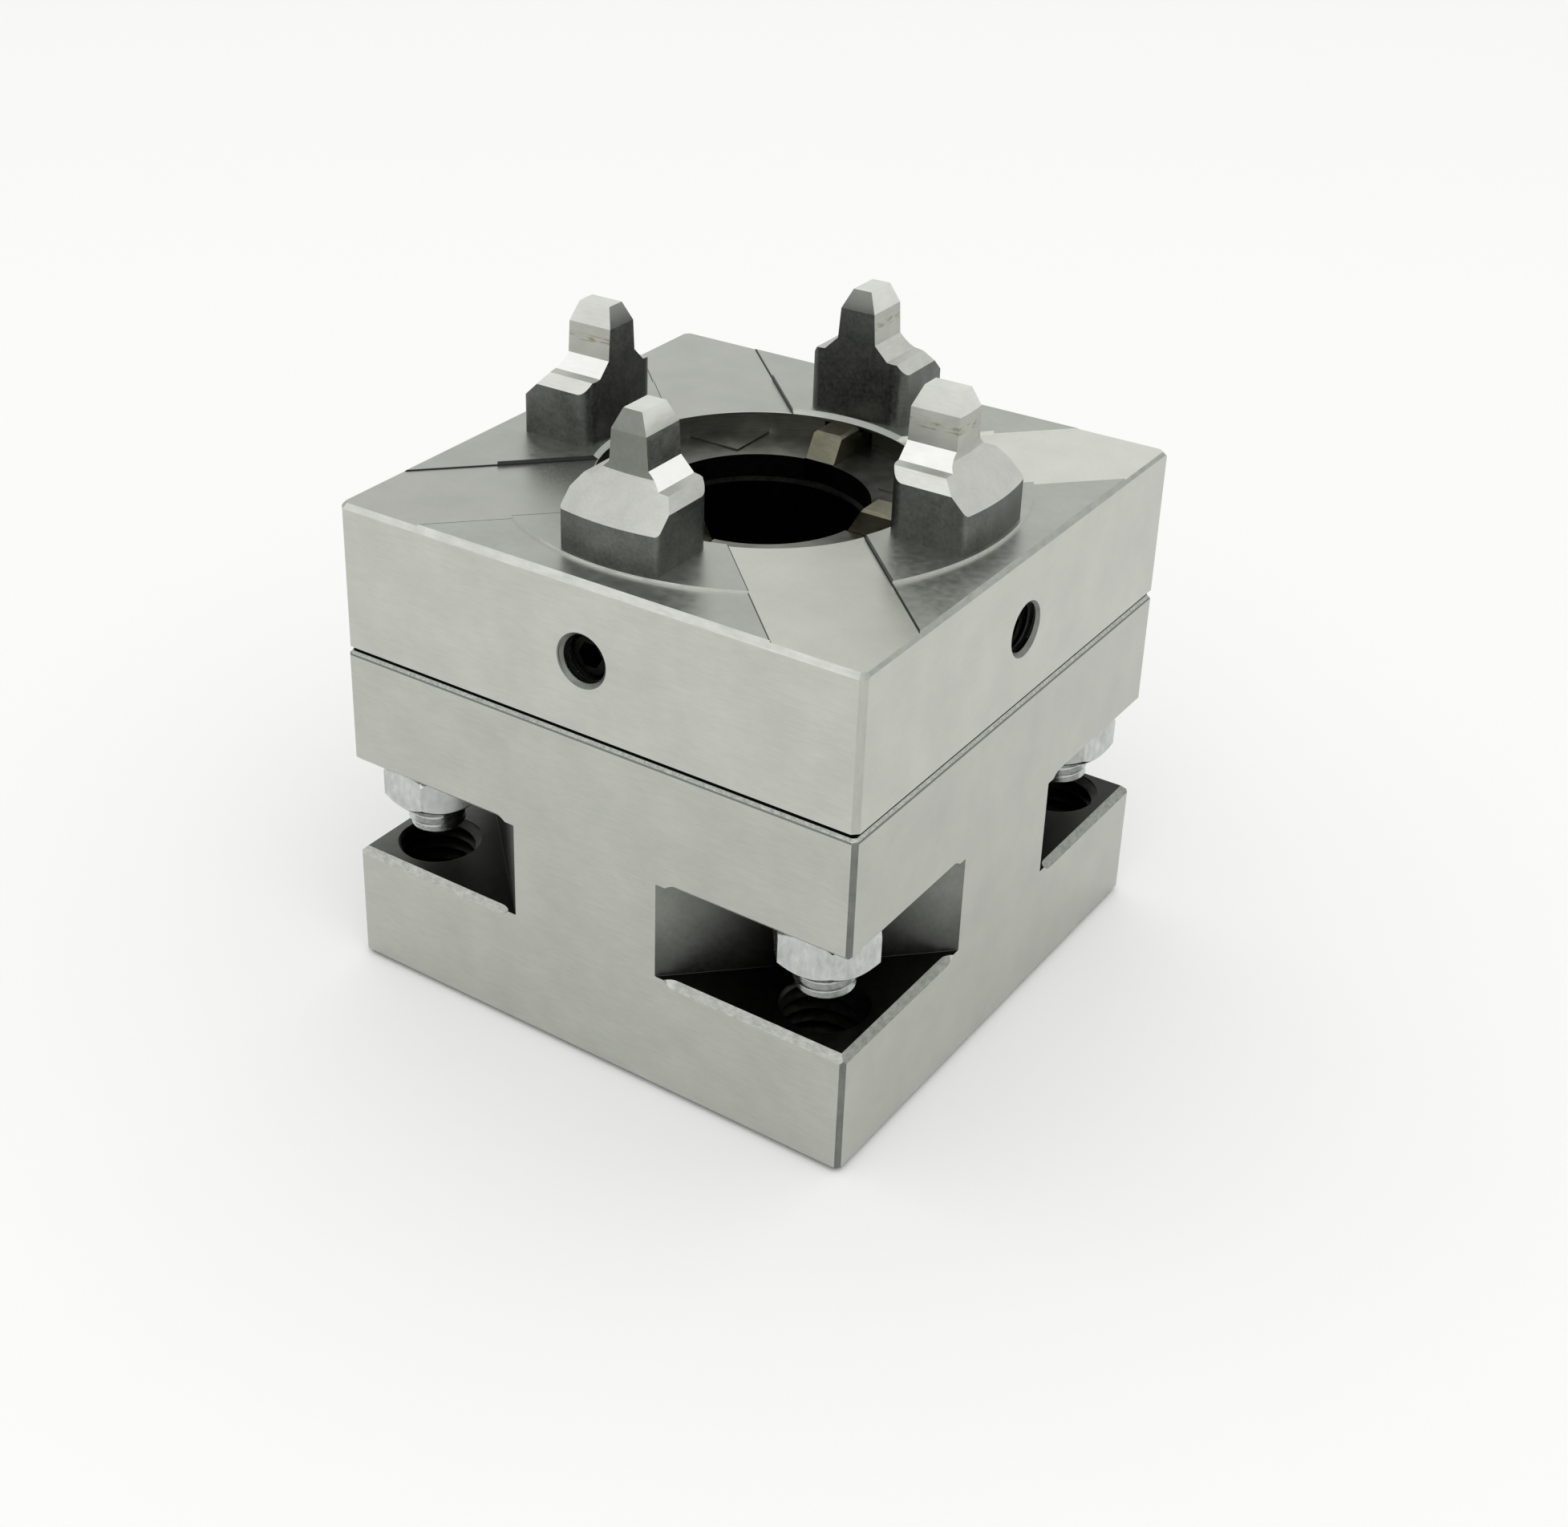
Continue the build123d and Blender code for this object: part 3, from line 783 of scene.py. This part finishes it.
# %% Painted shade in the notches
SHADE_FROM = 11.5
SHADE_TO = 2.5
SHADE_HEIGHT = 17.5
FOOT_SHADE = 0.7
OUTER_FLOOR_FROM = 17.0
DEEP_SHADE = "#141413"
OUTER_FLOOR_TONE = "#62645F"
floor_tree = shaded_notch_floors.node_tree
wall_tree = notch_walls.node_tree
root = math.sqrt(2)
overlay_ramp(shaded_notch_floors, axes_of(floor_tree)["X"], -OUTER_FLOOR_FROM, -HALF_SIDE, OUTER_FLOOR_TONE)
# Painted shade: the walls grow darker towards the middle of a notch and towards its floor.
overlay_ramp(notch_walls, off_diagonal(wall_tree), SHADE_FROM * root, SHADE_TO * root, DEEP_SHADE)
overlay_ramp(notch_walls, axes_of(wall_tree)["Z"], SHADE_HEIGHT, NOTCH_FLOOR, DEEP_SHADE, FOOT_SHADE)
print("notch walls darken over", SHADE_FROM - SHADE_TO, "mm")

# %% [markdown]
# Holders have rubbed a faint yellowish band across each finger. A plain band would look printed,
# so a noise, stretched level, breaks it into streaks.

# %% Rubs on the fingers
RUB_HEIGHT = 53.75
RUB_WIDTH = 0.3
STREAK_SIZE = (1.0, 1.0, 0.25)
STREAK_DETAIL = 4.0
PATCH_FROM = 0.48
PATCH_TO = 0.62
RUB = "#918F7C"


def rub_fingers(finish):
    """A faint band of streaks across a finger."""
    tree = finish.node_tree
    band = {1: RUB_HEIGHT * MM, 2: RUB_WIDTH * MM}
    in_band = add_node(tree, "Math", band, {0: axes_of(tree)["Z"]}, operation="COMPARE")
    place = add_node(tree, "TexCoord").outputs["Object"]
    scale = [1 / (size * MM) for size in STREAK_SIZE]
    stretched = add_node(tree, "Mapping", {"Scale": scale}, {"Vector": place})
    noise = {"Scale": 1.0, "Detail": STREAK_DETAIL}
    streaks = add_node(tree, "TexNoise", noise, {"Vector": stretched.outputs["Vector"]})
    patch = {"From Min": PATCH_FROM, "From Max": PATCH_TO}
    patches = add_node(tree, "MapRange", patch, {"Value": streaks.outputs["Fac"]})
    both = {0: in_band.outputs[0], 1: patches.outputs["Result"]}
    mask = add_node(tree, "Math", links=both, operation="MULTIPLY")
    overlay(finish, mask.outputs[0], RUB)


rub_fingers(prong_fingers)
print("rub from", RUB_HEIGHT - RUB_WIDTH, "to", RUB_HEIGHT + RUB_WIDTH, "mm")

# %% [markdown]
# One piece of steel carries several finishes, as each of its faces was machined in its own way.
# They could be picked by hand, but a list of rules sorts them all, by the middle and the direction
# of each, and the first rule that holds gives the finish. A direction has a share along each axis:
# 1 looks straight along it and 0 lies square to it.

# %% Sort faces into finishes
# Shares of a direction.
LEANING = 0.2
STEEP = 0.3
LEVEL = 0.9
FLAT = 0.95
# Places in millimetres.
CLOSE = 0.02
MARGIN = 0.05
WIDE_MARGIN = 0.1
CORNER_CUT = 1.0
EDGE_REACH = 0.9


def paint(piece, rules):
    """Give each face of a piece the finish of the first rule that holds for it."""
    piece.data.materials.clear()
    for finish, _ in rules:
        piece.data.materials.append(finish)
    for face in piece.data.polygons:
        middle = face.center / MM
        face.material_index = next(i for i, (_, rule) in enumerate(rules) if rule(middle, face.normal))


def anywhere(middle, normal):
    """All that is left."""
    return True


def on_side(middle, normal):
    """The four outer faces of the square."""
    return reach(middle) > HALF_SIDE - NEAR


def on_corner(middle, normal):
    """The four upright corner chamfers."""
    return abs(middle.x) + abs(middle.y) > 2 * HALF_SIDE - CORNER_CUT


def on_broken_edge(middle, normal):
    """Chamfers and rounded edges beside the outer faces."""
    return on_corner(middle, normal) or reach(middle) > HALF_SIDE - EDGE_REACH


print("edges reach", EDGE_REACH, "mm in from the sides")

# %% [markdown]
# The block has ground sides, milled notches with lips, tapped holes and several kinds of edge.
# Where two rules hold for a face, the closer one comes first: the floor of a notch before its
# walls, and the chamfer under the joint before the other edges.

# %% Finish the block
FOOT_HEIGHT = 0.35
HOLE_REACH = 4.6
HOLE_FLAT = 0.97
NOTCH_WALL = 32.15
NOTCH_MARGIN = 0.2


def on_joint_edge(middle, normal):
    """The chamfer round the top of the block, under the joint."""
    return middle.z > BLOCK_TOP - TOP_CHAMFER - CHAMFER_DROP - MARGIN


def under_joint(middle, normal):
    """The block's flat top, painted black as shade: it only shows as a black line in the joint."""
    return middle.z > BLOCK_TOP - CLOSE and normal.z > FLAT


def on_lip(middle, normal):
    """Chamfers that the pointed mill left along the notches."""
    return (
        reach(middle) > HALF_SIDE - LOWER_LIP - MARGIN
        and NOTCH_FLOOR - LOWER_LIP - WIDE_MARGIN < middle.z < NOTCH_ROOF + UPPER_LIP + WIDE_MARGIN
        and STEEP < abs(normal.z) < LEVEL
    )


def on_front_lip(middle, normal):
    """The lips of the faces that look north and south."""
    return on_lip(middle, normal) and abs(normal.y) > abs(normal.x)


def on_foot_edge(middle, normal):
    """The chamfer round the block's underside."""
    return middle.z < FOOT_HEIGHT and on_broken_edge(middle, normal) and normal.z < -LEANING


def in_tapped_hole(middle, normal):
    """The threads in the lower flange and their mouths."""
    off_hole = math.hypot(abs(middle.x) - stud_at / MM, abs(middle.y) - stud_at / MM)
    return off_hole < HOLE_REACH and abs(normal.z) < HOLE_FLAT and middle.z < NOTCH_FLOOR + NEAR


def in_notch(middle, normal):
    """Floor, ceiling and slanted wall of a corner notch."""
    in_height = NOTCH_FLOOR - NOTCH_MARGIN < middle.z < NOTCH_ROOF + NOTCH_MARGIN
    return abs(middle.x) + abs(middle.y) > NOTCH_WALL and in_height


def on_notch_floor(middle, normal):
    """Floor of a corner notch."""
    return in_notch(middle, normal) and normal.z > LEVEL


block_rules = [
    (block_sides, on_side),
    (shaded_foot_edges, on_foot_edge),
    (front_lips, on_front_lip),
    (shaded_side_lips, on_lip),
    (tapped, in_tapped_hole),
    (shaded_notch_floors, on_notch_floor),
    (notch_walls, in_notch),
    (black, under_joint),
    (blasted_edges, on_joint_edge),
    (broken_edges, on_broken_edge),
    (block_sides, anywhere),
]
paint(block, block_rules)
print("block finishes:", len(block.data.materials))

# %% [markdown]
# A prong stands on the ring: foot, two slopes with a small step between them, then the finger with
# its tip. Heights above the ring tell these apart. A slope looks sideways, and a back or front
# looks out from the axis or in to it, so those two shares of a direction are compared.

# %% Rules for the prongs
RING_HEIGHT = 45.05
SLOPE_FOOT = 3.3
STEP_HEIGHT = 5.75
FINGER_FOOT = 6.4
FINGER_TOP = 9.85
STEP_ABOVE = 0.2
PRONG_FROM = HALF_SIDE / 2
INWARDS = 0.9
TO_EAST = 0.7


def rise(middle):
    """Height above the ring."""
    return middle.z - RING_HEIGHT


def across(middle, normal):
    """How far a face of a prong looks sideways, and how far out or in from the axis."""
    if abs(middle.x) > abs(middle.y):
        return abs(normal.y), abs(normal.x)
    return abs(normal.x), abs(normal.y)


def off_axis(middle):
    """Distance from the axis of the bore."""
    return math.hypot(middle.x, middle.y)


def to_south(middle):
    """The south prong's side of the plate."""
    return middle.y < -abs(middle.x)


def on_tip(middle, normal):
    """The bevelled tops of the fingers."""
    return rise(middle) > FINGER_TOP


def on_tip_end(middle, normal):
    """The bevels at the back and front of a tip, on all prongs but the east one."""
    sideways, outwards = across(middle, normal)
    return on_tip(middle, normal) and outwards > sideways and normal.z < FLAT and middle.x < PRONG_FROM


def on_foot_wall(middle, normal):
    """The upright walls of a prong, all round."""
    return rise(middle) > CLOSE and normal.z < STEEP


def on_inner_wall(middle, normal):
    """The upright walls that look in to the axis."""
    inwards = normal.x * middle.x + normal.y * middle.y < -INWARDS * off_axis(middle)
    return on_foot_wall(middle, normal) and inwards


def on_finger(middle, normal):
    """The upright faces of the fingers."""
    return rise(middle) > FINGER_FOOT and normal.z < STEEP


def on_front_finger(middle, normal):
    """The upright faces of the south finger, which is nearest to the camera."""
    return on_finger(middle, normal) and to_south(middle)


def on_scratched_flank(middle, normal):
    """The face of the south finger that looks east."""
    return on_front_finger(middle, normal) and normal.x > TO_EAST


def on_slope(middle, normal):
    """Both slopes on the flanks of a prong."""
    sideways, outwards = across(middle, normal)
    return rise(middle) > SLOPE_FOOT and sideways >= outwards


def on_slope_step(middle, normal):
    """The small level step between the two slopes."""
    outwards = across(middle, normal)[1]
    at_step = STEP_HEIGHT - WIDE_MARGIN < rise(middle) < STEP_HEIGHT + STEP_ABOVE
    return at_step and normal.z > LEVEL and outwards < MARGIN


def on_upper_slope(middle, normal):
    """The slopes above the step, on all prongs but the north one."""
    return on_slope(middle, normal) and rise(middle) > STEP_HEIGHT and middle.y < PRONG_FROM


def on_side_slope(middle, normal):
    """The slopes of the north and south prongs."""
    return on_slope(middle, normal) and abs(middle.y) > abs(middle.x)


def on_cone(middle, normal):
    """The turned back of a prong, and whatever else stands above the ring."""
    return rise(middle) > WIDE_MARGIN


print("prongs rise", FINGER_TOP, "mm to their tips")

# %% [markdown]
# Pads, ring and rims differ by a third of a millimetre in height, so these rules keep close to
# their heights. The side holes are told by the distance from their own middle line.

# %% Rules for the rest of the plate
PAD_HEIGHT = 44.7
PAD_MARGIN = 0.04
RING_RADIUS = 22.3
RING_EDGE = 0.15
RECESS_RIM = 14.1
BORE_REACH = 17
LEDGE_DEPTH = 2.2
TOP_EDGE_DEPTH = 0.6
RIM_FROM = 0.76
RIM_TO = 0.995
JOINT_HEIGHT = 0.5
CREST_REACH = 2.08
CREST_FROM = 0.35
CREST_TO = 1.3
THREAD_REACH = 2.4
MOUTH_DEPTH = 0.6


def on_pad(middle, normal):
    """The four diagonal pads."""
    return normal.z > LEVEL and abs(middle.z - PAD_HEIGHT) < PAD_MARGIN


def on_west_pad(middle, normal):
    """The two pads in the west."""
    return on_pad(middle, normal) and middle.x < 0


def on_north_pad(middle, normal):
    """The two pads in the north."""
    return on_pad(middle, normal) and middle.y > 0


def on_lit_border(middle, normal):
    """The small wall along the far border of the north-east pad, which faces the light."""
    return (
        0 < middle.x < middle.y
        and off_axis(middle) > RECESS_RIM
        and PAD_HEIGHT - CLOSE < middle.z < RING_HEIGHT + CLOSE
        and normal.x > LEANING
        and normal.y < -LEANING
    )


def on_top(middle, normal):
    """The top of the plate, outside the recess."""
    return middle.z > PAD_HEIGHT - WIDE_MARGIN and off_axis(middle) > RECESS_RIM


def on_front_top(middle, normal):
    """The top on the south side of the plate, outside the ring."""
    return on_top(middle, normal) and to_south(middle) and off_axis(middle) > RING_RADIUS


def on_ring_edge(middle, normal):
    """The outer edge of the ring."""
    at_edge = abs(off_axis(middle) - RING_RADIUS) < RING_EDGE
    return at_edge and middle.z > PAD_HEIGHT + MARGIN and normal.z < FLAT


def on_top_edge(middle, normal):
    """Chamfers round the top of the plate."""
    near_top = middle.z > PAD_HEIGHT - TOP_EDGE_DEPTH
    return near_top and on_broken_edge(middle, normal) and LEANING < normal.z < FLAT


def on_long_edge(middle, normal):
    """The top chamfers above the two faces that look north and south."""
    return on_top_edge(middle, normal) and abs(normal.y) > STEEP and abs(normal.x) < STEEP


def on_top_rim(middle, normal):
    """The thin rounded rim between the top and its chamfers."""
    near_top = middle.z > PAD_HEIGHT - WIDE_MARGIN
    return near_top and on_broken_edge(middle, normal) and RIM_FROM < normal.z < RIM_TO


def in_bore(middle, normal):
    """The bore and its ledge."""
    return off_axis(middle) < BORE_REACH and middle.z > BLOCK_TOP + WIDE_MARGIN


def in_bore_depths(middle, normal):
    """The bore below its ledge."""
    return in_bore(middle, normal) and middle.z < PAD_HEIGHT - LEDGE_DEPTH


def in_joint(middle, normal):
    """The plate's underside and the edge round it, painted black as shade."""
    return middle.z < BLOCK_TOP + JOINT_HEIGHT


def off_hole(middle):
    """Distance from the middle line of the nearest side hole."""
    return math.hypot(min(abs(middle.x), abs(middle.y)), middle.z - screw_z / MM)


def in_side_thread(middle, normal):
    """The grooves of the threads in the side holes, painted black as shade."""
    return CREST_REACH < off_hole(middle) < THREAD_REACH and reach(middle) < HALF_SIDE - MOUTH_DEPTH


def on_side_crest(middle, normal):
    """The outermost crest of the threads in the side holes."""
    return off_hole(middle) < CREST_REACH and CREST_FROM < HALF_SIDE - reach(middle) < CREST_TO


print("ring above the pads, in mm:", round(RING_HEIGHT - PAD_HEIGHT, 2))

# %% [markdown]
# The plate's list runs from the tips of the prongs down to the joint and into the side holes. What
# is left at its end are walls of holes and slots, painted as dark as a tapped hole, as shade.

# %% Finish the plate
plate_rules = [
    (tip_ends, on_tip_end),
    (prong_tips, on_tip),
    (prong_walls, on_inner_wall),
    (scratched_flank, on_scratched_flank),
    (shaded_front_finger, on_front_finger),
    (prong_fingers, on_finger),
    (prong_walls, on_foot_wall),
    (slope_steps, on_slope_step),
    (highlight_slopes, on_upper_slope),
    (side_slopes, on_side_slope),
    (lower_slopes, on_slope),
    (prong_cones, on_cone),
    # The lit border wall gets the ring's painted highlight.
    (ring_highlights, on_lit_border),
    (shaded_west_pads, on_west_pad),
    (lit_north_east_pad, on_north_pad),
    (front_pad, on_pad),
    (ground_sides, on_side),
    (highlight_edges, on_top_rim),
    (highlight_edges, on_long_edge),
    (side_edges, on_top_edge),
    (ring_highlights, on_ring_edge),
    (lit_milled_front, on_front_top),
    (milled_top, on_top),
    (bore_depths, in_bore_depths),
    (turned_bore, in_bore),
    (plate_corners, on_corner),
    (black, in_joint),
    (black, in_side_thread),
    (thread_crests, on_side_crest),
    (broken_edges, on_broken_edge),
    (tapped, anywhere),
]
paint(plate, plate_rules)
print("plate finishes:", len(plate.data.materials))

# %% [markdown]
# Each of the small pieces has one finish all over, so its list of rules has a single line.

# %% Finish the other pieces
everything_else = [
    *((stud, zinc) for stud in studs.values()),
    *((nut, zinc) for nut in nuts.values()),
    *((screw, black) for screw in screws.values()),
    *((piece, jaw_finish) for node, piece in others.items() if "jaw" in node or "dowel" in node),
    (others["guide_sleeve"], black),
]
for piece, finish in everything_else:
    paint(piece, [(finish, anywhere)])
print("pieces with one finish:", len(everything_else))

# %% [markdown]
# The object stands on a pale floor, as on paper in a photo studio. The floor fills the view near
# the object, and the white world closes it behind.

# %% Floor
FLOOR_SIZE = 2.4
FLOOR_ROUGHNESS = 0.9
PAPER = "#FBFBFA"
bpy.ops.mesh.primitive_plane_add(size=FLOOR_SIZE, location=(0, 0, 0))
floor = bpy.context.object
floor.name = "studio_floor"
# Matt white paper: no gloss, so it shows only the soft shade round the object.
floor_paint = bpy.data.materials.new("pale_paper_floor")
floor_paint.use_nodes = True
floor_shader = floor_paint.node_tree.nodes["Principled BSDF"]
floor_shader.inputs["Base Color"].default_value = linear(PAPER)
floor_shader.inputs["Roughness"].default_value = FLOOR_ROUGHNESS
floor.data.materials.append(floor_paint)
print("floor side in metres:", FLOOR_SIZE)

# %% [markdown]
# A studio's white walls light the object from all round, and the steel mirrors them. The world
# does that here. It is seen at full strength, straight or in a mirror, and lights matt surfaces a
# little less, which keeps the floor from burning out. One large softbox stands in front.

# %% World and light
WORLD_WHITE = "#FDFDFC"
SEEN_STRENGTH = 1.0
SPREAD_STRENGTH = 0.93
SOFTBOX_PLACE = (0.3, -0.45, 0.75)
SOFTBOX_AIM = (0, 0, 0.03)
SOFTBOX_SIZE = 0.9
SOFTBOX_POWER = 1.5
world = bpy.data.worlds.new("studio")
bpy.context.scene.world = world
world.use_nodes = True
sky = world.node_tree
background = sky.nodes["Background"]
rays = add_node(sky, "LightPath")
seen = rays.outputs["Is Camera Ray"]
for ray in ("Is Glossy Ray", "Is Transmission Ray"):
    seen = add_node(sky, "Math", links={0: seen, 1: rays.outputs[ray]}, operation="MAXIMUM").outputs[0]
strengths = {"To Min": SPREAD_STRENGTH, "To Max": SEEN_STRENGTH}
strength = add_node(sky, "MapRange", strengths, {"Value": seen})
background.inputs["Color"].default_value = linear(WORLD_WHITE)
sky.links.new(strength.outputs["Result"], background.inputs["Strength"])
light = bpy.data.lights.new("softbox_front", "AREA")
light.size = SOFTBOX_SIZE
light.energy = SOFTBOX_POWER
lamp = bpy.data.objects.new("softbox_front", light)
bpy.context.scene.collection.objects.link(lamp)
lamp.location = SOFTBOX_PLACE
look = Vector(SOFTBOX_AIM) - Vector(SOFTBOX_PLACE)
lamp.rotation_euler = look.to_track_quat("-Z", "Y").to_euler()
print("softbox distance in metres:", round(look.length, 2))

# %% [markdown]
# The camera was found from the photograph: straight edges of the square block give its angle, its
# distance and the length of the lens. The picture was cropped off centre, so the lens is shifted.

# %% Camera
AZIMUTH = 38.38
ELEVATION = 27.2
ROLL = -0.93
CAMERA_PLACE = (0.09337, -0.14651, 0.1209)
FOCAL_PIXELS = 2815.59
CENTRE_PIXELS = (687.04, 764.63)
PHOTO_PIXELS = (1955, 1904)
SENSOR = 36
CLIP_NEAR = 0.005
CLIP_FAR = 20
camera_data = bpy.data.cameras.new("photo_camera")
camera_data.sensor_fit = "HORIZONTAL"
camera_data.sensor_width = SENSOR
camera_data.lens = FOCAL_PIXELS / PHOTO_PIXELS[0] * SENSOR
camera_data.shift_x = (PHOTO_PIXELS[0] / 2 - CENTRE_PIXELS[0]) / PHOTO_PIXELS[0]
camera_data.shift_y = (CENTRE_PIXELS[1] - PHOTO_PIXELS[1] / 2) / PHOTO_PIXELS[0]
camera_data.clip_start = CLIP_NEAR
camera_data.clip_end = CLIP_FAR
camera = bpy.data.objects.new("photo_camera", camera_data)
bpy.context.scene.collection.objects.link(camera)
camera.location = CAMERA_PLACE
tilt = Euler((math.radians(90 - ELEVATION), 0, math.radians(AZIMUTH))).to_matrix()
camera.rotation_euler = (tilt @ Matrix.Rotation(math.radians(ROLL), 3, "Z")).to_euler()
bpy.context.scene.camera = camera
bpy.context.scene.view_settings.view_transform = "Standard"
print("lens in mm:", round(camera_data.lens, 2))
